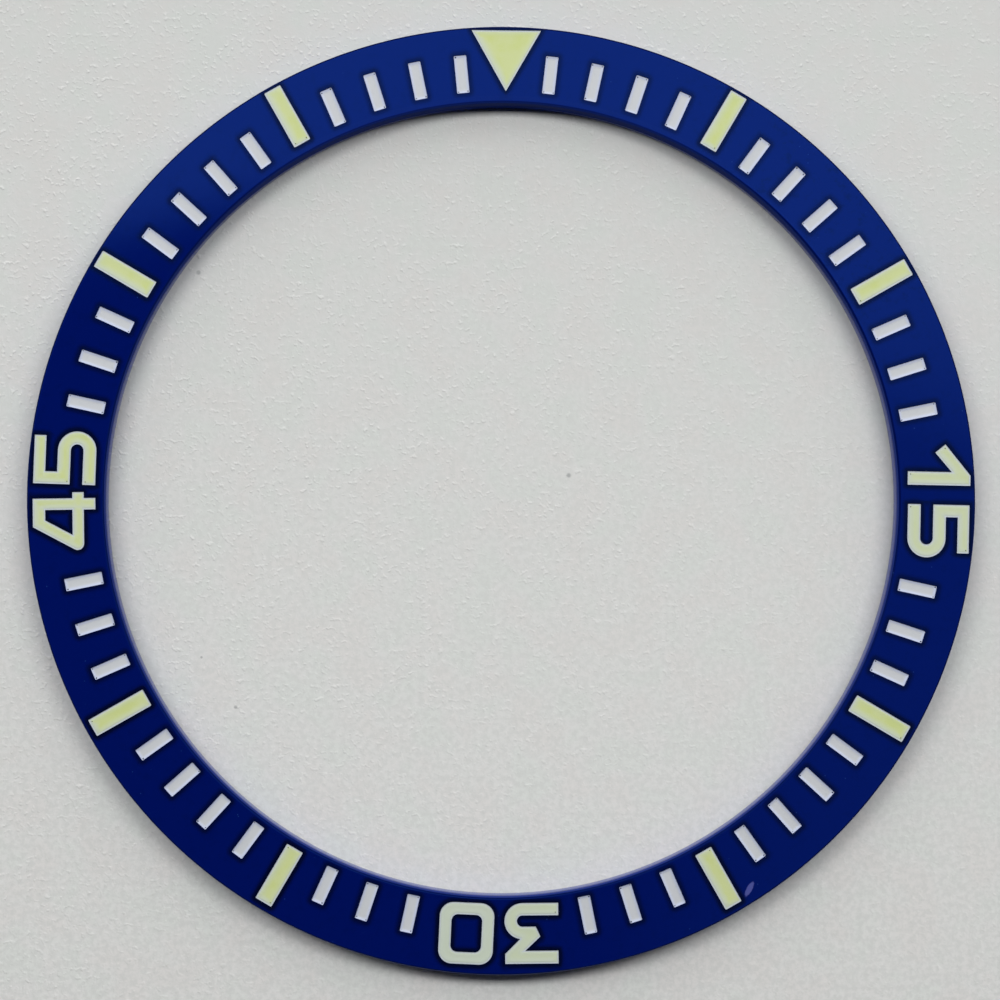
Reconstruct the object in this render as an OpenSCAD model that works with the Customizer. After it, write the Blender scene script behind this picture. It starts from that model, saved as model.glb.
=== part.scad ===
// Flat ceramic insert for the rotating bezel of a diving watch.
// The origin is the middle of the back face. +Z points out of the face that
// is seen, and +Y points at the triangle that stands at minute 0.
// Every mark is a recess in the face. The minute ticks are filled with white
// paint. The triangle, bars and figures have a white ground coat on the floor
// and walls of the recess, and a luminous filling on top of it.

/* [Ring] */
// Outside diameter
outer_diameter = 38; // [38:0.1:39]
// Diameter of the hole for the glass
inner_diameter = 31.8; // [31.2:0.1:31.8]
// Height from the back to the face
thickness = 1.1; // [0.8:0.05:2]
// Bevel round the outside of the face
outer_bevel = 0.08; // [0.04:0.01:0.09]
// Bevel round the hole, at the face
inner_bevel = 0.1; // [0.04:0.01:0.14]
// Bevel on both edges of the back
back_bevel = 0.12; // [0.05:0.01:0.25]

/* [Marks] */
// Plain land between the hole and the marks
land = 0.38; // [0.34:0.01:0.39]
// How far the ring of marks sits off centre, towards minute 0
mark_shift = 0.1; // [0:0.01:0.1]
// Depth of the recesses
recess_depth = 0.2; // [0.15:0.01:0.3]
// Radius in the corners of the ticks and bars
corner_radius = 0.04; // [0.02:0.01:0.1]

/* [Ticks] */
// Length of a minute tick
tick_length = 1.52; // [1:0.02:1.8]
// Width of a minute tick
tick_width = 0.5; // [0.3:0.02:0.6]

/* [Luminous marks] */
// Length of a five-minute bar
bar_length = 2.49; // [2:0.01:2.5]
// Width of a five-minute bar
bar_width = 0.73; // [0.6:0.01:0.8]
// Height of the triangle, from its tip to its outer side
triangle_height = 2.46; // [2.2:0.01:2.47]
// Width of the triangle at its outer side
triangle_width = 2.8; // [2.4:0.05:2.8]
// Width of the strokes of the figures
stroke = 0.5; // [0.44:0.01:0.52]
// Height of the figures
figure_height = 2.48; // [2.4:0.01:2.5]

/* [Fillings] */
// Thickness of the white ground coat on floor and walls
ground_coat = 0.06; // [0.03:0.01:0.09]
// How far the ground coat stays below the face
ground_drop = 0.03; // [0.02:0.01:0.06]
// How far the luminous filling stays below the face
lume_drop = 0.02; // [0.01:0.01:0.06]
// How far the paint of the ticks stays below the face
paint_drop = 0.04; // [0.01:0.01:0.08]

/* [Hidden] */
$fn = 96;

outer_radius = outer_diameter / 2;
inner_radius = inner_diameter / 2;
mark_radius = inner_radius + land;
recess_floor = thickness - recess_depth;
degrees_a_minute = 6;

ceramic_blue = [0.02, 0.07, 0.36];
paint_white = [0.84, 0.86, 0.9];
ground_white = [0.9, 0.92, 0.93];
lume_green = [0.76, 0.82, 0.55];

// Each run of minute ticks: its name, first minute and last minute
TICK_RUNS = [
    ["minute_ticks_01_04", 1, 4],
    ["minute_ticks_06_09", 6, 9],
    ["minute_ticks_11_13", 11, 13],
    ["minute_ticks_17_19", 17, 19],
    ["minute_ticks_21_24", 21, 24],
    ["minute_ticks_26_28", 26, 28],
    ["minute_ticks_32_34", 32, 34],
    ["minute_ticks_36_39", 36, 39],
    ["minute_ticks_41_43", 41, 43],
    ["minute_ticks_47_49", 47, 49],
    ["minute_ticks_51_54", 51, 54],
    ["minute_ticks_56_59", 56, 59]
];

// Each luminous mark: its name, its shape, its minute, then where its own
// corner lies, across from the minute's line and out from the mark radius,
// and how far it leans to the left in degrees
LUME_MARKS = [
    ["triangle", "triangle", 0, 0, 0, 0],
    ["bar_05", "bar", 5, 0, 0, 0],
    ["bar_10", "bar", 10, 0, 0, 0],
    ["fifteen_one", "1", 15, -2.27, 0, -0.7],
    ["fifteen_five", "5", 15, 0.15, 0, -0.9],
    ["bar_20", "bar", 20, 0, 0, 0],
    ["bar_25", "bar", 25, 0, 0, 0],
    ["thirty_three", "3", 30, -2.37, -0.09, 0.9],
    ["thirty_zero", "0", 30, 0.15, -0.03, -2.2],
    ["bar_35", "bar", 35, 0, 0, 0],
    ["bar_40", "bar", 40, 0, 0, 0],
    ["forty_five_four", "4", 45, -2.25, -0.07, 1.3],
    ["forty_five_five", "5", 45, 0.3, -0.01, -1.5],
    ["bar_50", "bar", 50, 0, 0, 0],
    ["bar_55", "bar", 55, 0, 0, 0]
];

// A direction of length 1
function unit(v) = v / norm(v);

// The direction square to v, on its left
function left_of(v) = [-v.y, v.x];

// An outline drawn in by d with sharp corners. Its points run anticlockwise.
function drawn_in(points, d) = [
    for (i = [0 : len(points) - 1])
    let (
        before = points[(i + len(points) - 1) % len(points)],
        after = points[(i + 1) % len(points)],
        n1 = left_of(unit(points[i] - before)),
        n2 = left_of(unit(after - points[i]))
    )
    points[i] + d * (n1 + n2) / (1 + n1 * n2)
];

// Upright box with round corners, its lower left corner at the origin
module round_box(width, height, r) {
    translate([0, r]) square([width, height - 2 * r]);
    translate([r, 0]) square([width - 2 * r, height]);
    for (x = [r, width - r], y = [r, height - r])
        translate([x, y]) circle(r);
}

// Half ring that joins two level strokes on their right
module bend(outside, inside) {
    difference() {
        circle(outside);
        circle(inside);
        translate([-2 * outside, -2 * outside]) square([2 * outside, 4 * outside]);
    }
}

// Round-cornered bar that stands on the mark radius
module bar_outline(width, length, d) {
    translate([-width / 2 + d, d])
        round_box(width - 2 * d, length - 2 * d, max(corner_radius - d, 0.01));
}

// Triangle with its tip on the mark radius
module triangle_outline(d) {
    half = triangle_width / 2;
    polygon(drawn_in([[0, 0], [half, triangle_height], [-half, triangle_height]], d));
}

// Figure 0: a tall frame with round corners
module figure_0(d) {
    width = 2.18;
    height = figure_height - 0.03;
    wall = stroke - 0.02;
    difference() {
        translate([d, d]) round_box(width - 2 * d, height - 2 * d, 0.55 - d);
        translate([wall - d, wall - d])
            round_box(width - 2 * wall + 2 * d, height - 2 * wall + 2 * d, 0.26 + d);
    }
}

// Figure 1: an upright with a broad flag at its upper left
module figure_1(d) {
    upright = 1.11;
    width = upright + stroke + 0.04;
    height = figure_height + 0.05;
    polygon(drawn_in([
        [0, 1.5],
        [0.34, 1.09],
        [upright, 1.77],
        [upright, 0],
        [width, 0],
        [width, height],
        [1.24, height]
    ], d));
}

// Figure 3: a flat top, a slanting stroke to the middle and a round bowl
module figure_3(d) {
    width = 2.13;
    height = figure_height - 0.06;
    bowl = 0.72;
    slot = bowl - stroke;
    bowl_x = 1.43;
    notch_x = bowl_x + 0.1;
    polygon(drawn_in([
        [0, height - stroke - 0.02],
        [1.32, height - stroke - 0.02],
        [0.72, 1.34],
        [0.9, bowl + slot],
        [bowl_x + 0.2, bowl + slot],
        [notch_x, bowl + sqrt(bowl ^ 2 - (notch_x - bowl_x) ^ 2)],
        [width, 2.02],
        [width, height],
        [0, height]
    ], d));
    lower_stroke(bowl_x, bowl - slot, d);
    translate([bowl_x, bowl]) bend(bowl - d, slot + d);
}

// Figure 4: a closed head with one round corner, and an upright on its right
module figure_4(d) {
    upright = 1.59;
    wall = stroke - 0.04;
    right = upright + wall;
    height = figure_height + 0.02;
    top_left = 0.91;
    bar_y = 0.46;
    bar_top = bar_y + wall;
    slope = 61.4;
    corner_r = 0.26 - d;
    reach = corner_r / tan(slope / 2);
    inner_x = top_left + 0.47 / sin(slope);
    outline = drawn_in([
        [top_left - (height - bar_y) / tan(slope), bar_y],
        [upright, bar_y],
        [upright, 0],
        [right, 0],
        [right, bar_y],
        [2.29, bar_y],
        [2.29, bar_top],
        [right, bar_top],
        [right, height],
        [top_left, height]
    ], d);
    // The opening gets larger as the strokes get thinner
    opening = drawn_in([
        [inner_x - (height - bar_top) / tan(slope), bar_top],
        [upright, bar_top],
        [upright, height - stroke],
        [inner_x - stroke / tan(slope), height - stroke]
    ], -d);
    difference() {
        union() {
            // The lower left corner ends at the two points where its round starts
            polygon([
                outline[0] + reach * [cos(slope), sin(slope)],
                outline[0] + [reach, 0],
                for (i = [1 : len(outline) - 1]) outline[i]
            ]);
            translate(outline[0] + [reach, corner_r]) circle(corner_r);
        }
        polygon(opening);
    }
}

// Figure 5: a flag of square strokes over a round bowl
module figure_5(d) {
    top_width = 1.94;
    bowl = 0.77;
    slot = bowl - stroke - 0.02;
    bowl_x = 2.13 - bowl;
    top_stroke = stroke - 0.03;
    polygon(drawn_in([
        [0, bowl + slot],
        [bowl_x + d, bowl + slot],
        [bowl_x + d, 2 * bowl],
        [stroke, 2 * bowl],
        [stroke, figure_height - top_stroke],
        [top_width, figure_height - top_stroke],
        [top_width, figure_height],
        [0, figure_height]
    ], d));
    lower_stroke(bowl_x, bowl - slot, d);
    translate([bowl_x, bowl]) bend(bowl - d, slot + d);
}

// Level stroke at the foot of a figure, which ends where its bend starts
module lower_stroke(length, height, d) {
    translate([d, d]) square([length - d, height - 2 * d]);
}

// Outline of a luminous mark, drawn in by d
module mark_outline(shape, d) {
    if (shape == "triangle") triangle_outline(d);
    if (shape == "bar") bar_outline(bar_width, bar_length, d);
    if (shape == "0") figure_0(d);
    if (shape == "1") figure_1(d);
    if (shape == "3") figure_3(d);
    if (shape == "4") figure_4(d);
    if (shape == "5") figure_5(d);
}

// Puts what follows at a minute, with +Y outwards from the mark radius
module at_minute(minute) {
    translate([0, mark_shift])
        rotate(-degrees_a_minute * minute)
            translate([0, mark_radius])
                children();
}

// Slice of one minute tick from height low to height high
module tick_slice(minute, low, high) {
    translate([0, 0, low])
        linear_extrude(high - low)
            at_minute(minute) bar_outline(tick_width, tick_length, 0);
}

// Slice of one luminous mark from height low to height high, drawn in by d
module mark_slice(mark, d, low, high) {
    translate([0, 0, low])
        linear_extrude(high - low)
            at_minute(mark[2])
                translate([mark[3], mark[4]])
                    rotate(mark[5])
                        mark_outline(mark[1], d);
}

// Ring of blue ceramic with a recess for every mark
module insert_ring() {
    cut_top = thickness + 1;
    color(ceramic_blue) difference() {
        rotate_extrude() polygon([
            [inner_radius + back_bevel, 0],
            [outer_radius - back_bevel, 0],
            [outer_radius, back_bevel],
            [outer_radius, thickness - outer_bevel],
            [outer_radius - outer_bevel, thickness],
            [inner_radius + inner_bevel, thickness],
            [inner_radius, thickness - inner_bevel],
            [inner_radius, back_bevel]
        ]);
        for (run = TICK_RUNS, minute = [run[1] : run[2]])
            tick_slice(minute, recess_floor, cut_top);
        for (mark = LUME_MARKS)
            mark_slice(mark, 0, recess_floor, cut_top);
    }
}

// White paint in one run of minute ticks, each tick a solid of its own
module minute_ticks(run) {
    color(paint_white)
        for (minute = [run[1] : run[2]])
            tick_slice(minute, recess_floor, thickness - paint_drop);
}

// White coat on the floor and walls of one recess
module mark_ground(mark) {
    color(ground_white) difference() {
        mark_slice(mark, 0, recess_floor, thickness - ground_drop);
        mark_slice(mark, ground_coat, recess_floor + ground_coat, thickness);
    }
}

// Luminous filling inside the ground coat
module mark_lume(mark) {
    color(lume_green)
        mark_slice(mark, ground_coat, recess_floor + ground_coat, thickness - lume_drop);
}

insert_ring();
for (run = TICK_RUNS)
    minute_ticks(run);
for (mark = LUME_MARKS)
    mark_ground(mark);
for (mark = LUME_MARKS)
    mark_lume(mark);
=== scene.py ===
import math
import random

import bmesh
import bpy
import numpy as np
from mathutils import Matrix, Vector
from mathutils.geometry import delaunay_2d_cdt
from mathutils.kdtree import KDTree


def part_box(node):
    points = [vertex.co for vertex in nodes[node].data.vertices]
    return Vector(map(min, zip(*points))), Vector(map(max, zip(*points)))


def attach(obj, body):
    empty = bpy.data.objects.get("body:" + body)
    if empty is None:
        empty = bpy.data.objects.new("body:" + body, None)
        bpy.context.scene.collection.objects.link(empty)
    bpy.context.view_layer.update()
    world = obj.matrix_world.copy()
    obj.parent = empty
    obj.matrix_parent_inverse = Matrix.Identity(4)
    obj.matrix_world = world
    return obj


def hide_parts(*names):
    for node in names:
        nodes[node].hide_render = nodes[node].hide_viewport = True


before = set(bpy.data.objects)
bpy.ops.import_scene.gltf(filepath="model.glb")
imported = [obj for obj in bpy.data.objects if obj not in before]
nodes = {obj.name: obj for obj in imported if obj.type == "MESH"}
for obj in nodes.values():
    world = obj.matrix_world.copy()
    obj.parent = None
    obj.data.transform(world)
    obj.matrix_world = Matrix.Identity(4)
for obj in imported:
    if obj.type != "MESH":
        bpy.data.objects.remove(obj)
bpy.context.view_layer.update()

scene = bpy.context.scene
mm = 0.001  # the sizes below are in millimetres, the meshes in metres


# Shader and modifier trees

class Wire:
    # an output socket of a node, so that maths on it is written as it reads
    def __init__(self, graph, socket):
        self.graph, self.socket = graph, socket

    def maths(self, operation, *terms):
        return self.graph.node("ShaderNodeMath", {"operation": operation}, dict(enumerate(terms)))

    def also(self, output):  # another output of the same node
        return Wire(self.graph, self.socket.node.outputs[output])

    def __add__(self, other):
        return self.maths("ADD", self, other)

    def __radd__(self, other):
        return self.maths("ADD", other, self)

    def __sub__(self, other):
        return self.maths("SUBTRACT", self, other)

    def __rsub__(self, other):
        return self.maths("SUBTRACT", other, self)

    def __mul__(self, other):
        return self.maths("MULTIPLY", self, other)

    def __rmul__(self, other):
        return self.maths("MULTIPLY", other, self)

    def __truediv__(self, other):
        return self.maths("DIVIDE", self, other)

    def __rtruediv__(self, other):
        return self.maths("DIVIDE", other, self)

    def __pow__(self, other):
        return self.maths("POWER", self, other)

    def __lt__(self, other):
        return self.maths("LESS_THAN", self, other)

    def __gt__(self, other):
        return self.maths("GREATER_THAN", self, other)

    def __abs__(self):
        return self.maths("ABSOLUTE", self)

    def atLeast(self, other):
        return self.maths("MAXIMUM", self, other)

    def atMost(self, other):
        return self.maths("MINIMUM", self, other)

    def rise(self, low, high):  # 0 below low, 1 above high, smooth between
        return self.graph.node("ShaderNodeMapRange", {"interpolation_type": "SMOOTHSTEP"},
                               {"Value": self, "From Min": low, "From Max": high})


class Graph:
    # the node tree of a material, of the world or of a modifier
    def __init__(self, tree):
        self.tree = tree
        tree.nodes.clear()

    def node(self, kind, settings=None, sockets=None, output=0):
        # a socket goes by its name or number, and a list feeds one that takes several links
        made = self.tree.nodes.new(kind)
        for name, value in (settings or {}).items():
            setattr(made, name, value)
        for key, value in (sockets or {}).items():
            if isinstance(key, int):
                socket = made.inputs[key]
            else:
                socket = next(s for s in made.inputs if s.name == key and s.enabled)
            for item in value if isinstance(value, list) else [value]:
                if isinstance(item, Wire):
                    self.tree.links.new(item.socket, socket)
                else:
                    socket.default_value = item
        return Wire(self, made.outputs[output]) if len(made.outputs) else None

    def blend(self, factor, first, second, mode="MIX"):  # mix of two colours
        return self.node("ShaderNodeMix", {"data_type": "RGBA", "blend_type": mode},
                         {0: factor, 6: first, 7: second}, 2)

    def tinted(self, factor, colour, tint):
        return self.blend(factor, colour, tint, "MULTIPLY")

    def vector(self, operation, first, second, output=0):
        return self.node("ShaderNodeVectorMath", {"operation": operation},
                         {0: first, 1: second}, output)

    def distance(self, first, second=(0.0, 0.0, 0.0)):  # or the length of one vector
        return self.vector("DISTANCE", first, second, "Value")

    def split(self, vector, output="X"):  # also("Y") and also("Z") give the other parts
        return self.node("ShaderNodeSeparateXYZ", {}, {"Vector": vector}, output)

    def join(self, x, y, z=0.0):
        return self.node("ShaderNodeCombineXYZ", {}, {"X": x, "Y": y, "Z": z})

    def dice(self, pattern):  # a random value for each cell, and also("Green") and also("Blue")
        return self.node("ShaderNodeSeparateColor", {}, {"Color": pattern.also("Color")})

    def stretch(self, vector, amount):
        return self.node("ShaderNodeVectorMath", {"operation": "SCALE"},
                         {"Vector": vector, "Scale": amount})

    def place(self):  # where a point lies from the middle of the back, in millimetres
        return self.stretch(self.node("ShaderNodeTexCoord", output="Object"), 1 / mm)

    def noise(self, where, scale, detail=2.0, rough=0.5):  # scale is in lumps per millimetre
        return self.node("ShaderNodeTexNoise", {},
                         {"Vector": where, "Scale": scale, "Detail": detail, "Roughness": rough})

    def cells(self, where, scale, dimensions="3D"):
        return self.node("ShaderNodeTexVoronoi", {"voronoi_dimensions": dimensions},
                         {"Vector": where, "Scale": scale, "Randomness": 1.0})

    def stored(self, name, output="Fac"):
        return self.node("ShaderNodeAttribute", {"attribute_name": name}, output=output)

    def bump(self, height, strength, depth):
        return self.node("ShaderNodeBump", {},
                         {"Height": height, "Strength": strength, "Distance": depth * mm})

    def shader(self, **sockets):
        return self.node("ShaderNodeBsdfPrincipled", {},
                         {name.replace("_", " "): value for name, value in sockets.items()})

    def surface(self, shader):
        self.node("ShaderNodeOutputMaterial", {}, {"Surface": shader})


def seen(red, green, blue, alpha=1.0):  # a colour as it looks on screen, 0 to 255
    return tuple((c / 255 / 12.92) if c < 11 else ((c / 255 + 0.055) / 1.055) ** 2.4
                 for c in (red, green, blue)) + (alpha,)


def newFinish(name):
    finish = bpy.data.materials.new(name)
    finish.use_nodes = True
    return finish, Graph(finish.node_tree)


# Finishes

ceramicLook = {
    "colour": (0.0004, 0.0057, 0.106, 1.0),
    "marginColour": (0.0024, 0.0042, 0.004, 1.0),  # painted shade beside the engraved marks and on the upper bevels
    "wallColour": (0.004, 0.022, 0.24, 1.0),       # ground, not polished
    # matt and darker wall: partly a matt ground finish, partly painted shade
    "mattColour": (0.008, 0.022, 0.15, 1.0),
    "smudgeColour": (0.0003, 0.0040, 0.060, 1.0),
    "backColour": (0.0012, 0.010, 0.105, 1.0),     # sintered, not polished
    "scuffColour": (0.085, 0.095, 0.32, 1.0),
    "dustColour": (0.02, 0.05, 0.20, 1.0),
    "reflectionTint": (0.04, 0.178, 0.93, 1.0),
    "reflectionIndex": 2.15,
    "clearGloss": 0.06,
    "roughness": 0.04,
    "unevenness": 0.002,
    "backEnds": (0.005, 0.14),        # heights between which the back gives way to the wall
    "wallEnds": (1.01, 1.06),         # and the wall to the face
    "faceLevel": 1.05,
    "north": (6.0, 15.0),             # y between which the triangle's side sets in
    "mattStarts": (0.45, 0.95),       # heights between which the hole's wall turns matt and darker, partly painted shade
    # it starts lower on the triangle's side, as painted shade there
    "mattStartsNorth": (0.15, 0.50),
    "mattEnds": (1.01, 1.06),         # and where that ends
    "mattEndsNorth": (1.07, 1.11),
    "holeReach": 16.2,                # radius within which all is the hole's wall
    "scuffPlace": (10.00, -15.50, 0.0),
    "scuffTurn": 62.0,                # degrees
    "scuffHalf": (0.33, 0.112, 100.0),
    "dustPlace": (13.5, 12.5, 0.0),   # dust and smudges lie mostly about here
    "dustReach": (2.0, 9.0),
    "speckCells": 2.6,                # per mm, and a cell has one speck or none
    "speckSize": (0.03, 0.09),        # in parts of a cell
    "speckFree": 0.80,                # share of the cells without one
    "marginLumps": 4.0,               # patterns: lumps per mm
    "scuffLumps": 9.0,
    "backLumps": 40.0,
    "smears": (1.1, 3.0, 0.6),        # and some with detail and roughness too
    "smudges": (2.3, 4.0, 0.7),
    "wipes": (1.6, 3.0, 0.6),
    "wipeSqueeze": (7.0, 0.8, 1.0),
    "ripples": (14.0, 3.0, 0.6),
}


def makeCeramic(look):
    finish, g = newFinish("polishedCeramic")
    where = g.place()
    height = g.split(where, "Z")
    back = 1 - height.rise(*look["backEnds"])
    wall = 1 - height.rise(*look["wallEnds"])
    onFace = height > look["faceLevel"]

    # painted shade: a dull dark margin beside each engraved mark, where its recess edge lies in shade,
    # and on the upper bevels
    margin = (g.stored("margin") * (0.8 + 0.4 * g.noise(where, look["marginLumps"]))).atMost(1.0)

    # one small scuff, a slim leaf with a ragged edge
    turned = g.node("ShaderNodeMapping", {"vector_type": "TEXTURE"}, {
        "Vector": where, "Location": look["scuffPlace"],
        "Rotation": (0.0, 0.0, math.radians(look["scuffTurn"])), "Scale": look["scuffHalf"]})
    leaf = g.distance(turned) + 0.35 * g.noise(where, look["scuffLumps"])
    scuff = (1 - leaf.rise(0.95, 1.3)) * onFace

    # specks of dust, smudges and faint wiping marks
    near = 1 - g.distance(where, look["dustPlace"]).rise(*look["dustReach"])
    cells = g.cells(where, look["speckCells"])
    hasSpeck = g.dice(cells) > look["speckFree"] - 0.25 * near
    speck = (1 - cells.rise(*look["speckSize"])) * hasSpeck * onFace
    smear = g.noise(where, *look["smears"]).rise(0.5, 0.75)
    smudge = g.noise(where, *look["smudges"]).rise(0.50, 0.68) * (0.25 + 0.75 * near) * onFace
    wiped = g.noise(g.vector("MULTIPLY", where, look["wipeSqueeze"]), *look["wipes"])

    colour = look["colour"]
    for share, layer in ((margin * 0.72, "marginColour"), (wall, "wallColour"), (back, "backColour"),
                         (smudge * 0.8, "smudgeColour"), (speck * 0.6, "dustColour"),
                         (scuff * 0.9, "scuffColour")):
        colour = g.blend(share, colour, look[layer])
    rough = (look["roughness"] + 0.03 * smear + 0.02 * wiped + 0.12 * margin
             + 0.10 * smudge + 0.04 * wall + 0.35 * back + 0.4 * scuff + 0.25 * speck)
    fine = (g.noise(where, *look["ripples"]) + 6 * back * g.noise(where, look["backLumps"])
            - 4 * scuff + 2 * speck)
    polished = g.shader(
        Base_Color=colour, Roughness=rough, Metallic=0.5 * margin, IOR=look["reflectionIndex"],
        Specular_Tint=look["reflectionTint"],
        Coat_Weight=look["clearGloss"] * (1 - back) * (1 - 0.8 * scuff),
        Coat_Roughness=0.04, Normal=g.bump(fine, 0.25, look["unevenness"]))

    # the hole's wall turns matt and darker towards its upper edge, and more of it does on the
    # triangle's side: partly a matt ground finish, partly painted shade on the side that faces away
    # from the lamps
    matt = g.shader(Base_Color=look["mattColour"], Roughness=0.8, Specular_IOR_Level=0.0)
    north = height.also("Y").rise(*look["north"])

    def ramp(south, beyond):
        low, high = (a + (b - a) * north for a, b in zip(look[south], look[beyond]))
        return height.rise(low, high)

    mattAndShade = ramp("mattStarts", "mattStartsNorth") * (1 - ramp("mattEnds", "mattEndsNorth"))
    inHole = g.distance(g.vector("MULTIPLY", where, (1.0, 1.0, 0.0))) < look["holeReach"]
    g.surface(g.node("ShaderNodeMixShader", {}, {0: inHole * mattAndShade * 0.9, 1: polished, 2: matt}))
    return finish


paintLook = {
    "colour": seen(195, 198, 202),
    "wallColour": seen(191, 199, 222),   # the cooler rim where it climbs the wall
    "wornColour": seen(176, 181, 186),
    "pitColour": seen(24, 30, 62),
    "rimWidth": (0.02, 0.15),
    "unevenness": 0.006,
    "patches": (5.0, 3.0, 0.6),          # patterns: lumps per mm, detail and roughness
    "streaks": (26.0, 2.0, 0.6),
    "pitInset": 0.045,                   # from both sides of a corner
    "pitStray": 0.035,
    "pitRadius": 0.024,
    "pitShare": 0.62,                    # share of the corners that have a pinhole
    "pitLumps": 22.0,
}


def makePaint(look, size):
    finish, g = newFinish("tickPaint")
    where = g.place()
    rim = 1 - g.stored("edge").rise(*look["rimWidth"])
    patchy = g.noise(where, *look["patches"])
    streaks = g.noise(g.vector("MULTIPLY", where, (1.0, 1.0, 3.0)), *look["streaks"])

    # pinholes near a tick's corners, where the paint drew back and the ceramic shows
    across = g.split(g.stored("local", "Vector"))
    along = across.also("Y")
    corner = (across > 0) + 2 * (along > 0) + 70 * g.stored("chance")  # differs for each one
    chance = g.node("ShaderNodeTexWhiteNoise", {"noise_dimensions": "1D"}, {"W": corner})
    stray = g.dice(chance)
    fromX = abs(across) - (size["tickWidth"] / 2 - look["pitInset"]) + look["pitStray"] * stray
    fromY = (abs(along) - (size["tickLength"] / 2 - look["pitInset"])
             + look["pitStray"] * stray.also("Green"))
    away = (fromX * fromX + fromY * fromY) ** 0.5 + 0.03 * (g.noise(where, look["pitLumps"]) - 0.5)
    reach = look["pitRadius"] * (0.7 + 0.6 * stray.also("Blue"))
    pit = (1 - away.rise(reach * 0.6, reach * 1.5)) * (chance < look["pitShare"])

    colour = g.blend(rim, look["colour"], look["wallColour"])
    colour = g.blend(patchy.rise(0.55, 0.8) * 0.35, colour, look["wornColour"])
    colour = g.blend(pit, colour, look["pitColour"])
    bumps = g.bump(patchy + 0.6 * streaks - 3 * pit, 0.4, look["unevenness"])
    g.surface(g.shader(Base_Color=colour, Roughness=0.42 + 0.15 * patchy - 0.2 * pit, IOR=1.48,
                       Normal=bumps))
    return finish


coatLook = {
    "colour": seen(193, 201, 205),
    "dullColour": seen(184, 193, 194),
    "unevenness": 0.005,
    "patches": (8.0, 3.0, 0.6),   # lumps per mm, detail and roughness
}


def makeGroundCoat(look):
    finish, g = newFinish("groundCoat")
    patchy = g.noise(g.place(), *look["patches"])
    colour = g.blend(patchy.rise(0.4, 0.7) * 0.6, look["colour"], look["dullColour"])
    g.surface(g.shader(Base_Color=colour, Roughness=0.5 + 0.15 * patchy, IOR=1.48,
                       Normal=g.bump(patchy, 0.4, look["unevenness"])))
    return finish


lumeLook = {
    "rim": seen(192, 202, 190),
    "core": seen(195, 205, 142),
    "strong": seen(192, 203, 130),
    "pale": seen(198, 207, 155),
    "pitColour": seen(40, 46, 70),
    "rimRamp": (-0.165, 0.262),   # the yellow sets in gradually from the coat inwards
    "unevenness": 0.006,
    "clouds": (1.3, 3.0, 0.55),   # patterns: lumps per mm, detail and roughness
    "mottles": (6.0, 3.0, 0.6),
    "grains": (45.0, 2.0, 0.6),
}


def makeLume(look):
    finish, g = newFinish("lumeFilling")
    where = g.place()
    cloudy = g.noise(where, *look["clouds"])
    mottled = g.noise(where, *look["mottles"])
    grains = g.noise(where, *look["grains"])
    depth = g.stored("depth") + 0.06 * (mottled - 0.5)
    inside = depth.rise(*look["rimRamp"]) * g.stored("tint")
    colour = g.blend(cloudy.rise(0.42, 0.68), look["pale"], look["strong"])
    colour = g.blend(0.5, colour, look["core"])
    colour = g.blend(mottled.rise(0.5, 0.8) * 0.3, colour, look["pale"])
    colour = g.blend(inside, look["rim"], colour)
    colour = g.blend(g.stored("pit"), colour, look["pitColour"])
    g.surface(g.shader(Base_Color=colour, Roughness=0.55 + 0.15 * mottled, IOR=1.5,
                       Normal=g.bump(grains + mottled, 0.5, look["unevenness"])))
    return finish


# Outlines of the marks, read off the CAD nodes so that every piece fits its recess

def topLoops(name, merge=0.0005, level=0.002):
    # edges of the top face as closed loops in millimetres, with the material on their left
    mesh = bmesh.new()
    mesh.from_mesh(nodes[name].data)
    bmesh.ops.remove_doubles(mesh, verts=mesh.verts, dist=merge * mm)
    mesh.normal_update()
    top = max(v.co.z for v in mesh.verts)
    flat = [f for f in mesh.faces
            if f.normal.z > 0.99 and abs(f.calc_center_median().z - top) < level * mm]
    upper = set(flat)
    following = {}
    for face in flat:  # in mesh order, so that each run gives the same loops
        for corner in face.loops:
            if sum(f in upper for f in corner.edge.link_faces) == 1:
                following[corner.vert] = corner.link_loop_next.vert
    loops, done = [], set()
    for start in following:
        points, vert = [], start
        while vert not in done:
            done.add(vert)
            points.append(np.array(vert.co.xy) / mm)
            vert = following[vert]
        if len(points) > 2:
            loops.append(tidyLoop(points))
    mesh.free()
    return loops


def tidyLoop(points, closest=0.01, longest=0.2):
    # drops points that crowd a corner and divides the long straight sides
    kept = []
    for point in points:
        if not kept or np.hypot(*(point - kept[-1])) >= closest:
            kept.append(point)
    if np.hypot(*(kept[0] - kept[-1])) < closest:
        kept.pop()
    result = []
    for first, second in zip(kept, kept[1:] + kept[:1]):
        pieces = max(1, math.ceil(np.hypot(*(second - first)) / longest))
        result += [first + (second - first) * i / pieces for i in range(pieces)]
    return np.array(result)


def leftNormals(loop):
    # at each point, the way to the left that keeps a parallel line parallel
    ahead = np.roll(loop, -1, 0) - loop
    ahead /= np.hypot(*ahead.T)[:, None]
    left = np.stack([-ahead[:, 1], ahead[:, 0]], 1)
    before = np.roll(left, 1, 0)
    return (left + before) / np.maximum(1 + (left * before).sum(1), 0.35)[:, None]


def shifted(loop, amount):
    return loop + leftNormals(loop) * amount


def besideEdges(loops, offsets, nearest):
    # rows of points to the left of the loops, without those that are nearer to another edge
    return [point for offset in offsets for loop in loops for point in shifted(loop, offset)
            if nearest.find(point)[0] > 0.9 * offset]


def spread(points, closest=0.012):
    # leaves out points that crowd one another
    kept, cells = [], {}
    for point in points:
        column, row = (int(math.floor(c / closest)) for c in point)
        near = [other for i in (-1, 0, 1) for j in (-1, 0, 1)
                for other in cells.get((column + i, row + j), [])]
        if all(np.hypot(*(point - other)) >= closest for other in near):
            cells.setdefault((column, row), []).append(point)
            kept.append(point)
    return kept


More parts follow.
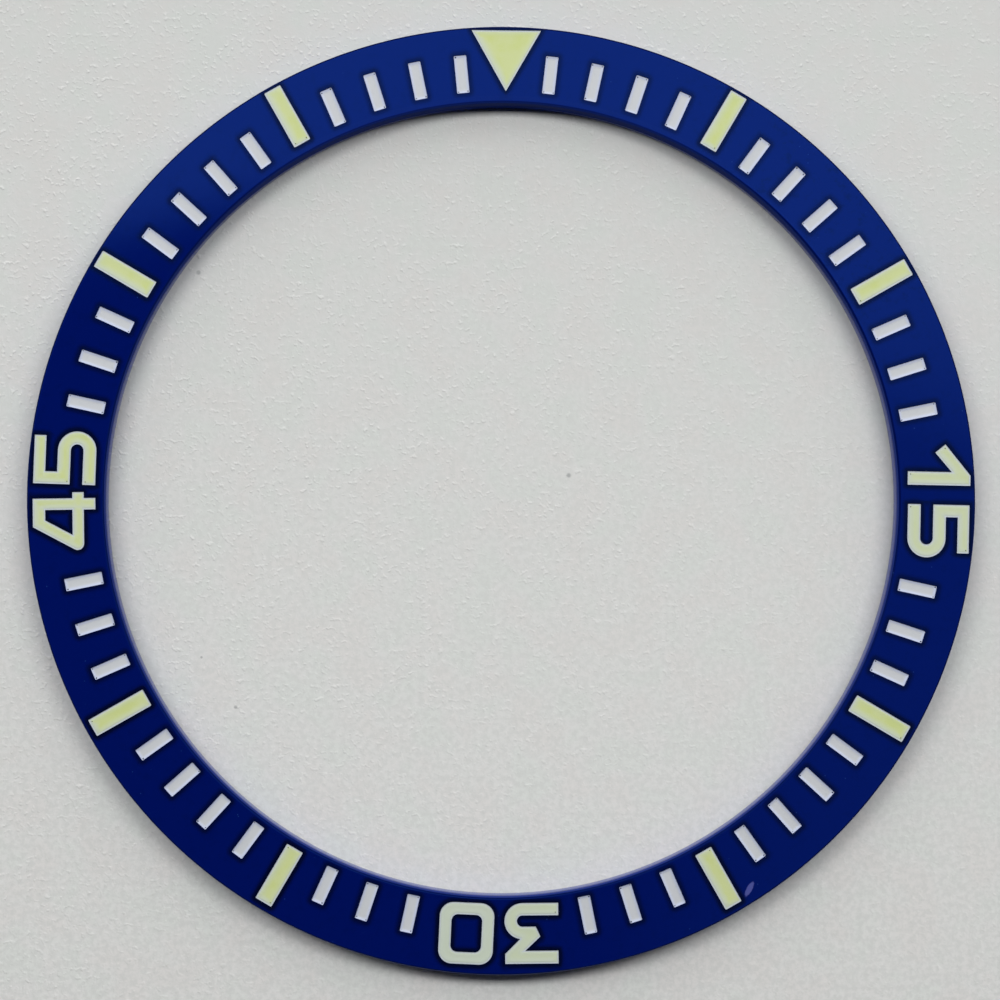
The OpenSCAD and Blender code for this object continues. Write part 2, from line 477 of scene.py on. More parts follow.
def isInside(points, loops):
    # true where a point lies within an odd number of the loops
    inside = np.zeros(len(points), bool)
    for loop in loops:
        x, y = points.T
        near = np.flatnonzero((x > loop[:, 0].min()) & (x < loop[:, 0].max())
                              & (y > loop[:, 1].min()) & (y < loop[:, 1].max()))
        x, y = x[near, None], y[near, None]
        (x0, y0), (x1, y1) = loop.T, np.roll(loop, -1, 0).T
        crosses = (y0 > y) != (y1 > y)
        rise = np.where(y1 == y0, 1.0, y1 - y0)
        inside[near] ^= (crosses & (x < x0 + (y - y0) / rise * (x1 - x0))).sum(1) % 2 == 1
    return inside


class NearestEdge:
    # finds how far a point is from the outlines, and which way they face
    def __init__(self, loops, step=0.02):
        self.normals, samples = [], []
        for loop in loops:
            for first, second in zip(loop, np.roll(loop, -1, 0)):
                length = np.hypot(*(second - first))
                left = np.array([first[1] - second[1], second[0] - first[0]]) / length
                for i in range(max(1, round(length / step))):
                    samples.append(first + (second - first) * i * step / length)
                    self.normals.append(left)
        self.tree = KDTree(len(samples))
        for i, sample in enumerate(samples):
            self.tree.insert((*sample, 0.0), i)
        self.tree.balance()

    def find(self, point):
        _, index, distance = self.tree.find((point[0], point[1], 0.0))
        return distance, self.normals[index]


class Shell:
    # flat sheets and upright walls that close into one solid piece
    def __init__(self):
        self.points, self.faces, self.known = [], [], {}

    def point(self, x, y, z):
        key = (round(x, 5), round(y, 5), round(z, 5))
        if key not in self.known:
            self.known[key] = len(self.points)
            self.points.append((x, y, z))
        return self.known[key]

    def sheet(self, loops, z, up=True, extra=(), height=None):
        # fills the outlines, leaving every second nested one open
        given, edges = [], []
        for loop in loops:
            start = len(given)
            given += list(loop)
            edges += [(start + i, start + (i + 1) % len(loop)) for i in range(len(loop))]
        given += spread(extra)
        verts, _, faces, origins, *_ = delaunay_2d_cdt([Vector(p) for p in given], edges, [], 1, 1e-6)
        places = np.array([given[o[0]] if o else tuple(v) for v, o in zip(verts, origins)])
        corners = places[np.array([f[:3] for f in faces])]
        wanted = isInside(corners.mean(1), loops)
        ids = {}
        for face, (a, b, c), keep in zip(faces, corners, wanted):
            if not keep:
                continue
            leftTurn = (b[0] - a[0]) * (c[1] - a[1]) > (b[1] - a[1]) * (c[0] - a[0])
            for i in face:
                if i not in ids:
                    level = height(places[i]) if height else z
                    ids[i] = self.point(*places[i], level)
            ring = [ids[i] for i in face]
            self.faces.append(ring if leftTurn == up else ring[::-1])

    def wall(self, upper, lower, top, bottom):
        # a wall with the solid on the left of its loops
        n = len(upper)
        for i in range(n):
            j = (i + 1) % n
            ring = [self.point(*lower[i], bottom), self.point(*lower[j], bottom),
                    self.point(*upper[j], top), self.point(*upper[i], top)]
            self.faces.append([p for k, p in enumerate(ring) if p != ring[k - 1]])

    def mesh(self, name):
        made = bpy.data.meshes.new(name)
        made.from_pydata([tuple(c * mm for c in p) for p in self.points], [], self.faces)
        made.update()
        return made


def addPiece(name, mesh, finish, slot, *replaced):
    piece = bpy.data.objects.new(name, mesh)
    scene.collection.objects.link(piece)
    mesh.materials.clear()
    mesh.materials.append(finish)
    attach(piece, "root")
    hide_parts(*replaced)


def smoothShade(mesh, crease):  # faces that meet at more than crease degrees keep a sharp edge
    mesh.polygons.foreach_set("use_smooth", [True] * len(mesh.polygons))
    mesh.set_sharp_from_angle(angle=math.radians(crease))


def storeOnPoints(mesh, name, values):
    mesh.attributes.new(name, "FLOAT", "POINT").data.foreach_set("value", values)


def growMesh(name, tree, values):
    # runs a modifier tree once and keeps the plain mesh
    seed = bpy.data.objects.new(name + "Seed", bpy.data.meshes.new(name))
    scene.collection.objects.link(seed)
    modifier = seed.modifiers.new("Build", "NODES")
    modifier.node_group = tree
    for item in tree.interface.items_tree:
        if item.in_out == "INPUT":  # Tick Width takes the value tickWidth, and so on
            key = item.name[0].lower() + item.name[1:].replace(" ", "")
            modifier[item.identifier] = values[key]
    built = bpy.data.meshes.new_from_object(seed.evaluated_get(bpy.context.evaluated_depsgraph_get()))
    seed.modifiers.clear()
    bpy.data.objects.remove(seed)
    built.name = name
    return built


def newTree(name, sizes, counts):
    # an empty modifier tree with its inputs, and the node that gives them
    tree = bpy.data.node_groups.new(name, "GeometryNodeTree")
    inputs = [(label, "Float") for label in sizes] + [(label, "Int") for label in counts]
    for label, kind in inputs + [("Finish", "Material")]:
        tree.interface.new_socket(label, in_out="INPUT", socket_type="NodeSocket" + kind)
    tree.interface.new_socket("Geometry", in_out="OUTPUT", socket_type="NodeSocketGeometry")
    g = Graph(tree)
    return tree, g, g.node("NodeGroupInput")


def endTree(g, shape, finish):
    inMetres = g.node("GeometryNodeTransform", {}, {"Geometry": shape, "Scale": (mm, mm, mm)})
    whole = g.node("GeometryNodeRealizeInstances", {}, {"Geometry": inMetres})
    done = g.node("GeometryNodeSetMaterial", {}, {"Geometry": whole, "Material": finish})
    g.node("NodeGroupOutput", {}, {"Geometry": done})


# Ring

def loopsIn(name, slack=0.02):
    # the ring's outlines that lie within a node's box
    low, high = (np.array(corner.xy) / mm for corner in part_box(name))
    return [loop for loop in markLoops
            if (loop.min(0) > low - slack).all() and (loop.max(0) < high + slack).all()]


marks = sorted(n[:-5] for n in nodes if n.endswith("_lume"))
# the two widest outlines are the ring's own edges, and the rest are those of the marks
markLoops = sorted(topLoops("insert_ring"), key=lambda loop: -np.ptp(loop[:, 0]))[2:]
fillLoops = [loop for mark in marks for loop in loopsIn(mark + "_ground")]
tickLoops = [loop for loop in markLoops if not any(loop is other for other in fillLoops)]
ringLow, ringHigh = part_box("insert_ring")

ringSize = {
    "outerRadius": min(ringHigh.x, ringHigh.y, -ringLow.x, -ringLow.y) / mm,
    "faceOuterRadius": 18.92,   # where the bevels meet the face
    "faceInnerRadius": 16.0,
    "innerRadius": 15.9,
    "thickness": ringHigh.z / mm,
    "backBevel": 0.12,
    "recessFloor": 0.90,
    "lip": 0.012,               # the broken edge of each recess
    "lipKnee": 0.3,             # and where its flat part meets its steep one
    "marginFlat": 0.04,         # painted shade: a dull dark margin follows each mark, full up to here
    "marginWidth": 0.28,        # and gone here
    "marginBase": 0.8,          # and below this height there is none
    "fillMargin": 1.0,          # how strong it is round the luminous marks
    "tickMargin": 0.72,
    "outerMargin": 0.6,         # and on the two upper bevels, also painted shade
    "innerMargin": 0.35,
    "bevelBase": 0.95,
    "rowOffsets": (0.04, 0.10, 0.16, 0.22, 0.29),   # rows of points beside each mark
    "slack": 0.01,
    "merge": 0.0006,            # the rim and the face join where points are this close
    "crease": 35,               # degrees
    "segments": 720,
    "bevelSteps": 7,
}


def ringTree():
    tree, g, size = newTree("sweptRim", (
        "Outer Radius", "Inner Radius", "Thickness", "Outer Bevel", "Inner Bevel", "Back Bevel"),
        ("Bevel Steps", "Segments"))
    width = size.also("Outer Radius") - size.also("Inner Radius")
    thick = size.also("Thickness")

    def corner(across, up):  # swept round, the section's own Y points down
        return g.join(across, 0.0 - up)

    section = g.node("GeometryNodeCurvePrimitiveQuadrilateral", {"mode": "POINTS"}, {
        "Point 1": corner(0.0, 0.0), "Point 2": corner(width, 0.0),
        "Point 3": corner(width, thick), "Point 4": corner(0.0, thick)})
    position = g.split(g.node("GeometryNodeInputPosition"))
    isTop = position.also("Y") < thick * -0.5
    isOuter = position > width * 0.5
    topRadius = isOuter * size.also("Outer Bevel") + (1 - isOuter) * size.also("Inner Bevel")
    radius = isTop * topRadius + (1 - isTop) * size.also("Back Bevel")
    rounded = g.node("GeometryNodeFilletCurve", {"mode": "POLY"}, {
        "Curve": section, "Count": size.also("Bevel Steps"), "Radius": radius})
    path = g.node("GeometryNodeCurvePrimitiveCircle", {"mode": "RADIUS"}, {
        "Resolution": size.also("Segments"), "Radius": size.also("Inner Radius")})
    swept = g.node("GeometryNodeCurveToMesh", {}, {"Curve": path, "Profile Curve": rounded})
    endTree(g, swept, size.also("Finish"))
    return tree


def makeFace(size):
    # the face between its bevels, with a recess for every mark
    outer, inner = size["faceOuterRadius"], size["faceInnerRadius"]
    turn = np.arange(size["segments"]) * 2 * math.pi / size["segments"]
    circles = [radius * np.stack([np.cos(turn), np.sin(turn)], 1) for radius in (outer, inner)]
    rows = [point for point in besideEdges(markLoops, size["rowOffsets"], NearestEdge(markLoops))
            if inner + size["slack"] < np.hypot(*point) < outer - size["slack"]]
    face = Shell()
    top, lip = size["thickness"], size["lip"]
    knee = lip * size["lipKnee"]
    face.sheet(circles + [shifted(loop, lip) for loop in markLoops], top, extra=rows)
    for loop in markLoops:
        wide, narrow = shifted(loop, lip), shifted(loop, knee)
        face.wall(wide, narrow, top, top - knee)
        face.wall(narrow, loop, top - knee, top - lip)
        face.wall(loop, loop, top - lip, size["recessFloor"])
    face.sheet(markLoops, size["recessFloor"])
    return face.mesh("face")


def paintedShadesOf(mesh, size):
    # painted shade: how dull and dark each point is, from its distance to the nearest mark, and on the
    # upper bevels
    shades = np.zeros(len(mesh.vertices))
    for loops, strength in ((fillLoops, size["fillMargin"]), (tickLoops, size["tickMargin"])):
        nearest = NearestEdge(loops)
        for i, vert in enumerate(mesh.vertices):
            away = nearest.find(vert.co / mm)[0] - size["marginFlat"]
            share = 1 - min(1.0, max(0.0, away / (size["marginWidth"] - size["marginFlat"])))
            if vert.co.z > size["marginBase"] * mm:
                shades[i] = max(shades[i], strength * share * share * (3 - 2 * share))
    for i, vert in enumerate(mesh.vertices):
        away = vert.co.xy.length / mm
        if vert.co.z > size["bevelBase"] * mm and away > size["faceOuterRadius"] + size["slack"]:
            shades[i] = size["outerMargin"]
        elif vert.co.z > size["bevelBase"] * mm and away < size["faceInnerRadius"] - size["slack"]:
            shades[i] = size["innerMargin"]
    return shades


def makeRing(size, finish):
    rim = growMesh("rim", ringTree(), dict(
        size, outerBevel=size["outerRadius"] - size["faceOuterRadius"],
        innerBevel=size["faceInnerRadius"] - size["innerRadius"], finish=finish))

    # the swept rim gives way to the engraved face
    mesh = bmesh.new()
    mesh.from_mesh(rim)
    mesh.normal_update()
    flat = [f for f in mesh.faces
            if abs(f.normal.z) > 0.999 and f.calc_center_median().z > (size["thickness"] - 0.001) * mm]
    bmesh.ops.delete(mesh, geom=flat, context="FACES")
    mesh.from_mesh(makeFace(size))
    bmesh.ops.remove_doubles(mesh, verts=mesh.verts, dist=size["merge"] * mm)
    bmesh.ops.recalc_face_normals(mesh, faces=mesh.faces)
    made = bpy.data.meshes.new("ring")
    mesh.to_mesh(made)
    mesh.free()
    made.set_sharp_from_angle(angle=math.radians(size["crease"]))
    made.polygons.foreach_set("use_smooth", [abs(f.normal.z) < 0.999 for f in made.polygons])
    storeOnPoints(made, "margin", paintedShadesOf(made, size))
    addPiece("polished_ring", made, finish, "blue_ceramic", "insert_ring")


# Minute ticks

tickSize = {
    "tickLength": 1.52,
    "tickWidth": 0.50,
    "cornerRadius": 0.04,
    "markRadius": 16.28,   # inner ends of the marks
    "shift": 0.10,         # the marks sit this much towards the triangle
    "floor": 0.90,
    "top": 1.06,           # the paint's rim, just below the face
    "dish": 0.03,          # and how far its middle sinks
    "dishWidth": 0.07,
    "merge": 0.0005,
    "crease": 40,          # degrees
    "columns": 13,
    "rows": 29,
    "seed": 5,
}


def tickTree():
    tree, g, size = newTree("paintedTicks", (
        "Tick Length", "Tick Width", "Corner Radius", "Mark Radius", "Shift", "Floor", "Top",
        "Dish", "Dish Width", "Merge"), ("First Minute", "Minutes", "Columns", "Rows", "Seed"))
    halfWidth, halfLength = size.also("Tick Width") * 0.5, size.also("Tick Length") * 0.5
    radius, thick = size.also("Corner Radius"), size.also("Top") - size.also("Floor")

    # a grid, crowded towards its edges and with rounded corners
    grid = g.node("GeometryNodeMeshGrid", {}, {
        "Size X": 2.0, "Size Y": 2.0, "Vertices X": size.also("Columns"),
        "Vertices Y": size.also("Rows")})
    position = g.split(g.node("GeometryNodeInputPosition"))
    x = position.maths("SINE", position * (math.pi / 2)) * halfWidth
    y = position.maths("SINE", position.also("Y") * (math.pi / 2)) * halfLength
    innerX, innerY = halfWidth - radius, halfLength - radius
    heldX = x.atMost(innerX).atLeast(0 - innerX)
    heldY = y.atMost(innerY).atLeast(0 - innerY)
    overX, overY = x - heldX, y - heldY
    reach = abs(overX).atLeast(abs(overY))
    pull = reach / ((overX * overX + overY * overY) ** 0.5).atLeast(1e-6)
    edge = radius - reach + (innerX - abs(heldX)).atMost(innerY - abs(heldY))
    spot = g.join(heldX + overX * pull, heldY + overY * pull)

    def store(kind, domain, shape, name, value):
        return g.node("GeometryNodeStoreNamedAttribute", {"data_type": kind, "domain": domain},
                      {"Geometry": shape, "Name": name, "Value": value})

    marked = store("FLOAT", "POINT", grid, "edge", edge)
    marked = g.node("GeometryNodeSetPosition", {}, {"Geometry": marked, "Position": spot})
    marked = store("FLOAT_VECTOR", "POINT", marked, "local", g.node("GeometryNodeInputPosition"))
    under = g.node("GeometryNodeFlipFaces", {}, {"Mesh": marked})
    raised = g.node("GeometryNodeExtrudeMesh", {"mode": "FACES"}, {
        "Mesh": marked, "Offset Scale": thick, "Individual": False})
    block = g.node("GeometryNodeJoinGeometry", {}, {"Geometry": [under, raised]})
    block = g.node("GeometryNodeMergeByDistance", {}, {
        "Geometry": block, "Distance": size.also("Merge")})

    # the paint clings to the walls and its middle sinks
    stored = g.node("GeometryNodeInputNamedAttribute", {"data_type": "FLOAT"}, {"Name": "edge"})
    sink = size.also("Dish") * (stored / size.also("Dish Width")).rise(0.0, 1.6)
    level = g.split(g.node("GeometryNodeInputPosition"), "Z")
    block = g.node("GeometryNodeSetPosition", {}, {
        "Geometry": block, "Selection": level > thick * 0.5, "Offset": g.join(0.0, 0.0, 0 - sink)})
    block = g.node("GeometryNodeTransform", {}, {
        "Geometry": block,
        "Translation": g.join(0.0, size.also("Mark Radius") + halfLength, size.also("Floor"))})

    # one tick a minute, clockwise from the triangle
    centres = g.node("GeometryNodePoints", {}, {
        "Count": size.also("Minutes"), "Position": g.join(0.0, size.also("Shift"))})
    minute = g.node("GeometryNodeInputIndex") + size.also("First Minute")
    turned = g.node("GeometryNodeInstanceOnPoints", {}, {
        "Points": centres, "Instance": block,
        "Rotation": g.join(0.0, 0.0, minute * math.radians(-6))})
    chance = g.node("FunctionNodeRandomValue", {"data_type": "FLOAT"},
                    {"Min": 0.0, "Max": 1.0, "ID": minute, "Seed": size.also("Seed")}, 1)
    endTree(g, store("FLOAT", "INSTANCE", turned, "chance", chance), size.also("Finish"))
    return tree


def makeTicks(size, finish):
    tree = tickTree()
    for name in sorted(n for n in nodes if n.startswith("minute_ticks_")):
        first, last = (int(part) for part in name.split("_")[-2:])
        mesh = growMesh("ticks", tree, dict(
            size, firstMinute=first, minutes=last - first + 1, finish=finish))
        smoothShade(mesh, size["crease"])
        addPiece(name.replace("minute_ticks", "painted_ticks"), mesh, finish, "white_paint", name)


# Triangle, bars and figures

fillSize = {
    "recessFloor": 0.90,
    "pocketFloor": 0.96,
    "coatTop": 1.07,
    "lumeTop": 1.08,
    "lumeRound": 0.008,    # how far the filling's edge rounds off
    "roundWidth": 0.04,
    "lumeSink": 0.008,     # and how far it sinks further in
    "sinkWidth": 0.25,
    "creep": 0.09,         # the yellow lies a little to one side
    "creepWay": (0.72, 0.69),
    "tint": {              # the narrow figures took less of the yellow
        "fifteen_one": 0.62, "fifteen_five": 0.58, "thirty_three": 0.36, "thirty_zero": 0.14,
        "forty_five_four": 0.92, "forty_five_five": 1.0},
    "rowOffsets": (0.012, 0.03, 0.06, 0.10, 0.15, 0.21, 0.28),   # rows of points along its edge
    "gridStep": 0.12,      # and a loose grid of them further in
    "gridStray": 0.03,
    "gridInset": 0.3,
    "crease": 45,          # degrees
    "pitInset": 0.08,
    "pitRadius": 0.024,
    "pitDepth": 0.05,
    "pitTaper": 0.6,       # the width of its bottom, as a share of its top
    "pitSides": 10,
    "pitShare": 0.28,      # share of the corners that have a pinhole
    "seed": 11,
}


def cornersOf(loop, reach=0.07, apart=0.3, sharp=60):
    # corners of an outline that turn by more than sharp degrees, each with the way inwards
    found = []
    ahead = np.roll(loop, -1, 0) - loop
    way = np.arctan2(ahead[:, 1], ahead[:, 0])
    turn = (way - np.roll(way, 1) + math.pi) % (2 * math.pi) - math.pi
    for i in range(len(loop)):
        window = [k % len(loop) for k in range(i - 4, i + 5)
                  if np.hypot(*(loop[k % len(loop)] - loop[i])) < reach]
        total = sum(turn[k] for k in window)
        if total > math.radians(sharp) and all(np.hypot(*(loop[i] - f[0])) > apart for f in found):
            middle = loop[window].mean(0)
            left = sum(leftNormals(loop)[k] for k in window)
            found.append((middle, left / np.hypot(*left)))
    return found


def makeCoat(name, size, recess, pocket, finish):
    # floor, walls and a thin rim round the filling
    shell = Shell()
    shell.sheet(recess, size["recessFloor"], up=False)
    shell.sheet(pocket, size["pocketFloor"])
    shell.sheet(recess + pocket, size["coatTop"])
    for loops, bottom in ((recess, size["recessFloor"]), (pocket, size["pocketFloor"])):
        for loop in loops:  # turned so that the coat is on the loop's left
            shell.wall(loop[::-1], loop[::-1], size["coatTop"], bottom)
    addPiece("coat_" + name, shell.mesh("coat"), finish, "white_ground", name + "_ground")


def looseGrid(pocket, size, nearest, dice):
    # points for the broad parts of the filling, each a little out of line
    low, high = np.concatenate(pocket).min(0), np.concatenate(pocket).max(0)
    stray, points = size["gridStray"], []
    for x in np.arange(low[0], high[0], size["gridStep"]):
        for y in np.arange(low[1], high[1], size["gridStep"]):
            point = np.array([x, y]) + [dice.uniform(-stray, stray), dice.uniform(-stray, stray)]
            if nearest.find(point)[0] > size["gridInset"]:
                points.append(point)
    return points


def pinholes(pocket, size, nearest, dice):
    # small round outlines near some of the corners
    turn = np.arange(size["pitSides"]) * 2 * math.pi / size["pitSides"]
    circle = size["pitRadius"] * np.stack([np.cos(turn), np.sin(turn)], 1)
    pits = []
    for loop in pocket:
        for corner, inward in cornersOf(loop):
            if dice.random() < size["pitShare"]:
                centre = corner + inward * size["pitInset"]
                if nearest.find(centre)[0] > size["pitRadius"] * 1.4:
                    pits.append(centre + circle)
    return pits


def makeFilling(name, size, pocket, finish, dice):
    # rounded at its edge and slightly sunk in the middle, with a few pinholes
    nearest = NearestEdge(pocket)
    points = besideEdges(pocket, size["rowOffsets"], nearest) + looseGrid(pocket, size, nearest, dice)
    pits = pinholes(pocket, size, nearest, dice)
    clear = 1.6 * size["pitRadius"]
    points = [p for p in points if all(np.hypot(*(p - pit.mean(0))) > clear for pit in pits)]

    def level(point):
        distance, _ = nearest.find(point)
        rounded = size["lumeRound"] * (1 - min(1.0, distance / size["roundWidth"])) ** 2
        sunk = size["lumeSink"] * min(1.0, distance / size["sinkWidth"])
        return size["lumeTop"] - rounded - sunk

    shell = Shell()
    shell.sheet(pocket + pits, 0.0, extra=points, height=level)
    shell.sheet(pocket, size["pocketFloor"], up=False)
    for loop in pocket:
        shell.wall(loop, loop, size["lumeTop"] - size["lumeRound"], size["pocketFloor"])
    pitPoints = set()
    for pit in pits:
        centre = pit.mean(0)
        depth = level(centre) - size["pitDepth"]
        tops = [shell.point(*p, level(p)) for p in pit]
        lows = [shell.point(*p, depth) for p in centre + (pit - centre) * size["pitTaper"]]
        pitPoints.update(lows)
        for i in range(len(pit)):
            j = (i + 1) % len(pit)
            shell.faces.append([tops[i], tops[j], lows[j], lows[i]])
        shell.faces.append(lows)

    mesh = shell.mesh("lume")
    depths = []
    for x, y, z in shell.points:
        distance, left = nearest.find((x, y))
        lean = left[0] * size["creepWay"][0] + left[1] * size["creepWay"][1]
        depths.append(distance - size["creep"] * lean)
    storeOnPoints(mesh, "depth", depths)
    storeOnPoints(mesh, "tint", [size["tint"].get(name, 1.0)] * len(depths))
    storeOnPoints(mesh, "pit", [1.0 if i in pitPoints else 0.0 for i in range(len(depths))])
    smoothShade(mesh, size["crease"])
    addPiece("filling_" + name, mesh, finish, "lume", name + "_lume")


# Stage

stageLook = {
    # painted light: the floor is paler on the side away from the lamps, to make up for their falloff
    "near": seen(219, 219, 217),
    "far": seen(199, 200, 198),
    "warm": (1.0, 0.984, 0.982, 1.0),
    "cool": (0.975, 1.0, 0.985, 1.0),
    "soiled": seen(197, 199, 196),
    # paler raised fibres and crumbs: partly whiter fibre, partly painted highlight
    "lint": seen(233, 233, 231),
    "speckColour": seen(150, 152, 152),
    "backdrop": seen(214, 215, 213),
    "level": -0.02,
    "halfFloor": 900.0,
    "fade": (28.0, 80.0),          # radius where the floor turns into the backdrop
    "unevenness": 0.016,
    "tintings": (0.45, 2.0, 0.6),  # patterns: lumps per mm, detail and roughness
    "grains": (4.2, 3.0, 0.65),
    "fineGrains": (9.0, 2.0, 0.6),
    "clumps": (0.8, 2.0, 0.6),
    "crumbs": (6.2, 1.0, 0.4),
    "crumbSqueeze": (0.88, 0.90, 1.0),
    "fibreCells": 1.9,             # per mm, and a cell has one fibre or none
    "fibreShape": (9.0, 20.0, 0.0),
    "roughFrom": (-46.0, 46.0),    # the floor gets rougher towards the upper left
    "specks": [(-12.4, 9.1, 0.09), (2.7, 1.0, 0.09), (-10.7, -8.5, 0.07), (-12.1, -6.5, 0.05)],
}


def makeFloor(look):
    finish, g = newFinish("paleFloor")
    where = g.place()
    coarse = g.noise(where, *look["tintings"])
    grain = g.noise(where, *look["grains"])
    fine = g.noise(where, *look["fineGrains"])

    # raised crumbs, and short fibres each turned its own way, both in loose clumps
    clump = g.noise(where, *look["clumps"]).rise(0.34, 0.62)
    crumbs = g.noise(g.vector("MULTIPLY", where, look["crumbSqueeze"]), *look["crumbs"])
    crumbs = crumbs.rise(0.52, 0.82) * (0.15 + 0.85 * clump)
    cell = g.cells(where, look["fibreCells"], "2D")
    chance = g.dice(cell)
    turned = g.node("ShaderNodeVectorRotate", {"rotation_type": "Z_AXIS"}, {
        "Vector": g.vector("SUBTRACT", where, cell.also("Position")), "Angle": chance * math.pi})
    away = g.distance(g.vector("MULTIPLY", turned, look["fibreShape"]))
    fibre = (1 - (away + 1.6 * (fine - 0.5)).rise(0.0, 1.4)) * (chance.also("Green") < 0.7 * clump)

    x = g.split(where)
    y = x.also("Y")
    rough = 0.25 + 0.95 * (1.5 * y - x).rise(*look["roughFrom"])
    raised = (0.4 * fibre + 1.6 * crumbs + 0.15 * grain + 0.06 * fine) * rough
    # painted light: paler away from the lamps, making up for their falloff
    colour = g.blend(y.rise(-30.0, 30.0), look["near"], look["far"])
    colour = g.tinted(coarse.rise(0.50, 0.62), colour, look["warm"])
    colour = g.tinted(1 - coarse.rise(0.38, 0.50), colour, look["cool"])
    colour = g.blend(grain.rise(0.35, 0.65) * 0.5, colour, look["soiled"])
    # raised crumbs and fibres are paler: partly whiter fibre, partly painted highlight on their raised
    # tops
    colour = g.blend((0.10 * fibre + 0.25 * crumbs) * rough, colour, look["lint"])
    for speckX, speckY, radius in look["specks"]:
        away = g.distance(where, (speckX, speckY, look["level"]))
        speck = 1 - away.rise(radius * 0.5, radius * 1.4)
        colour = g.blend(speck * 0.7, colour, look["speckColour"])

    # beyond the lamps' reach the floor is seen as the plain backdrop, which lights nothing
    lit = g.shader(Base_Color=colour, Roughness=0.85, IOR=1.4,
                   Normal=g.bump(raised, 0.8, look["unevenness"]))
    plain = g.node("ShaderNodeEmission", {}, {"Color": look["backdrop"], "Strength": 1.0})
    path = g.node("ShaderNodeLightPath")
    looked = path.also("Is Camera Ray") + path.also("Is Glossy Ray") + path.also("Is Transmission Ray")
    outside = g.distance(where).rise(*look["fade"])
    g.surface(g.node("ShaderNodeMixShader", {}, {0: outside * looked.atMost(1.0), 1: lit, 2: plain}))
    finish.cycles.emission_sampling = "NONE"

    half, level = look["halfFloor"] * mm, look["level"] * mm
    corners = [(-half, -half, level), (half, -half, level), (half, half, level), (-half, half, level)]
    mesh = bpy.data.meshes.new("floor")
    mesh.from_pydata(corners, [], [(0, 1, 2, 3)])
    mesh.materials.append(finish)
    floor = bpy.data.objects.new("floor", mesh)
    scene.collection.objects.link(floor)


lightLook = {
    "keyPower": 0.0675,            # watts
    "keySize": (84.0, 28.0),       # two strip lights in a row, beyond the triangle
    "keyPlaces": {"keyLeft": (-54.0, 36.0, 104.0), "keyRight": (54.0, 36.0, 104.0)},
    "ambient": 1.16,               # from the side of the strip lights
    "ambientFrom": (0.23, 0.65),   # parts of a unit direction, here and below
    "wings": 0.70,                 # and low from the two ends
    "wingsFrom": (0.5, 0.9),
    "wingsNorth": (-0.05, 0.25),
    "fill": 0.008,
    "walls": 0.05,
    "card": 0.57,                  # the bright panel that the face mirrors
    "overhead": (0.80, 0.90),      # how steeply a reflection goes up to it
    # its slanting edges, each with a point in mm where the camera sees it in the face
    "leftEdge": {"x": -15.6, "y": 10.5, "slope": 0.29, "soft": (-1.0, 1.0)},
    "rightEdge": {"x": 17.4, "y": 0.0, "slope": -0.45, "soft": (-2.0, 7.0)},
    "glow": 0.36,                  # a weak glow over the right half
    "glowFrom": (1.0, 15.0),
    "dimming": 0.36,               # and how much dimmer the panel is at the lower right
    "dimmingFrom": (-4.0, 22.0),
}


def makeWorld(look, camera, backdrop):
    world = bpy.data.worlds.new("studio")
    scene.world = world
    world.use_nodes = True
    world.cycles.sampling_method = "NONE"  # its light depends on the ray, which no map holds
    g = Graph(world.node_tree)
    direction = g.split(g.node("ShaderNodeTexCoord", output="Generated"))
    forward, upward = direction.also("Y"), direction.also("Z")

    # what the face mirrors: a bright panel over the upper part, the dark room over the rest
    drop = camera["place"][2] - camera["aim"][2]
    steep = upward.atLeast(0.05)
    x = camera["place"][0] + drop * (direction / steep)
    y = camera["place"][1] + drop * (forward / steep)

    def above(edge):  # 1 above a slanting edge and 0 below it
        return (y - (edge["y"] + edge["slope"] * (x - edge["x"]))).rise(*edge["soft"])

    glow = look["glow"] * x.rise(*look["glowFrom"])
    panel = above(look["leftEdge"]).atLeast(above(look["rightEdge"])).atLeast(glow)
    panel = panel * (1 - look["dimming"] * (x - y).rise(*look["dimmingFrom"]))
    overhead = upward.rise(*look["overhead"])
    room = look["walls"] * (1 - overhead) * (upward + 0.2).rise(0.0, 0.5)
    mirrored = look["card"] * panel * overhead + room

    # soft light from the side of the lamps, and the plain backdrop for the camera
    path = g.node("ShaderNodeLightPath")
    isCamera, isGlossy = path.also("Is Camera Ray"), path.also("Is Glossy Ray")
    bySide = forward.rise(*look["ambientFrom"])
    wings = (look["wings"] * abs(direction).rise(*look["wingsFrom"])
             * forward.rise(*look["wingsNorth"]))
    sky = look["ambient"] * (bySide + wings) + look["fill"]
    strength = sky * (1 - isGlossy) * (1 - isCamera) + mirrored * isGlossy
    soft = g.node("ShaderNodeBackground", {}, {"Color": (1.0, 1.0, 1.0, 1.0), "Strength": strength})
    plain = g.node("ShaderNodeBackground", {}, {"Color": backdrop, "Strength": isCamera})
    both = g.node("ShaderNodeAddShader", {}, {0: soft, 1: plain})
    g.node("ShaderNodeOutputWorld", {}, {"Surface": both})


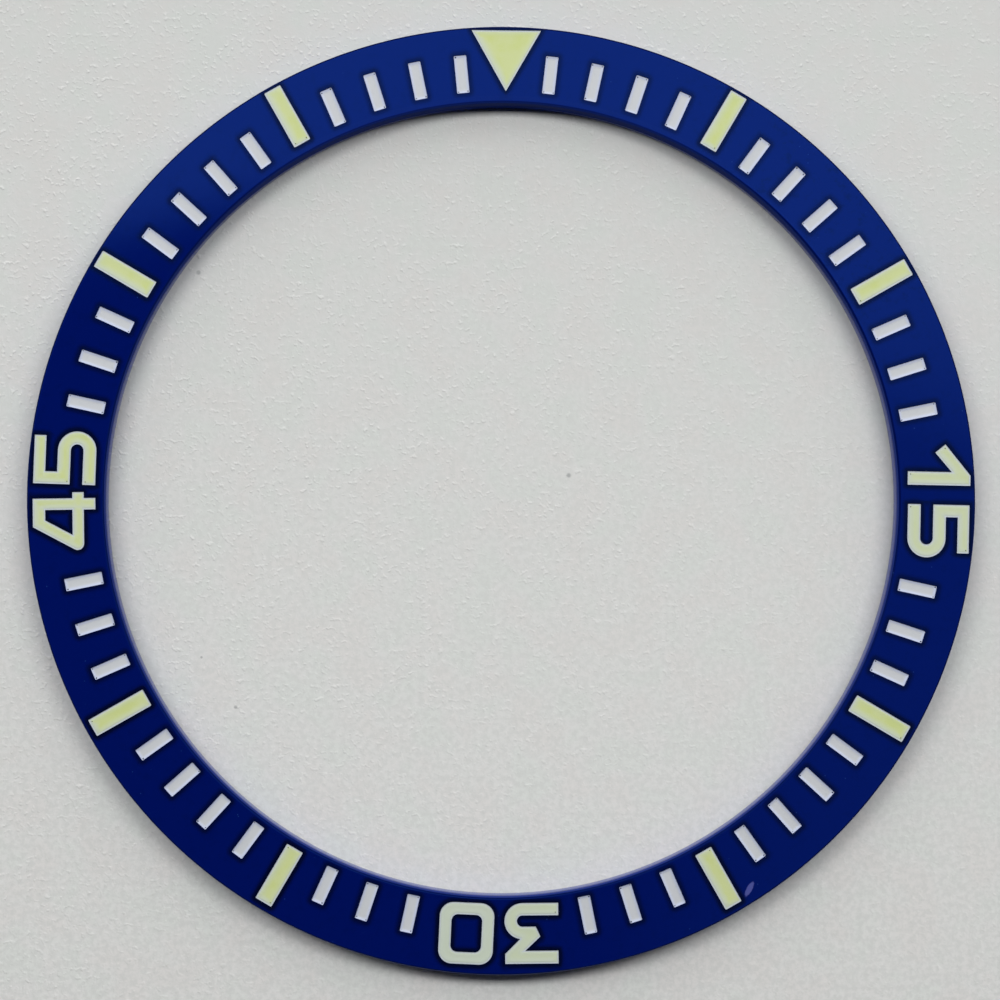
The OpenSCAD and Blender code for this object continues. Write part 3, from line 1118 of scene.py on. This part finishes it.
def makeLamps(look):
    for name, place in look["keyPlaces"].items():
        lamp = bpy.data.lights.new(name, "AREA")
        lamp.shape = "RECTANGLE"
        lamp.size, lamp.size_y = (length * mm for length in look["keySize"])
        lamp.energy = look["keyPower"]
        key = bpy.data.objects.new(name, lamp)
        scene.collection.objects.link(key)
        key.location = Vector(place) * mm
        level = Vector((0.0, place[1], place[2]))  # turned to the middle, but not to the side
        key.rotation_euler = level.to_track_quat("Z", "Y").to_euler()
        key.visible_camera = key.visible_glossy = False


cameraLook = {
    "place": (-0.98019, -1.49451, 81.12519),
    "aim": (-0.09176, -0.04617, 1.1),
    "roll": 0.00871,  # radians
    "lens": 72.0,
    "sensor": 36.0,
    "clip": (2.0, 10000.0),
}


def makeCamera(look):
    place, aim = Vector(look["place"]) * mm, Vector(look["aim"]) * mm
    forward = (aim - place).normalized()
    right = forward.cross(Vector((0, 1, 0))).normalized()
    up = right.cross(forward)
    c, s = math.cos(look["roll"]), math.sin(look["roll"])
    right, up = c * right + s * up, c * up - s * right
    data = bpy.data.cameras.new("camera")
    data.sensor_width, data.lens = look["sensor"], look["lens"]
    data.clip_start, data.clip_end = (limit * mm for limit in look["clip"])
    camera = bpy.data.objects.new("camera", data)
    scene.collection.objects.link(camera)
    turn = Matrix((right, up, -forward)).transposed().to_4x4()
    camera.matrix_world = Matrix.Translation(place) @ turn
    scene.camera = camera


ceramic = makeCeramic(ceramicLook)
paint = makePaint(paintLook, tickSize)
coat = makeGroundCoat(coatLook)
lume = makeLume(lumeLook)
print("finishes ready")

makeRing(ringSize, ceramic)
print("ring engraved with", len(markLoops), "outlines")

makeTicks(tickSize, paint)
print("ticks painted")

dice = random.Random(fillSize["seed"])
for mark in marks:
    pocket = topLoops(mark + "_lume")
    makeCoat(mark, fillSize, loopsIn(mark + "_ground"), pocket, coat)
    makeFilling(mark, fillSize, pocket, lume, dice)
print(len(marks), "marks filled")

makeFloor(stageLook)
makeWorld(lightLook, cameraLook, stageLook["backdrop"])
makeLamps(lightLook)
makeCamera(cameraLook)
scene.view_settings.view_transform = "Standard"
print("stage set")
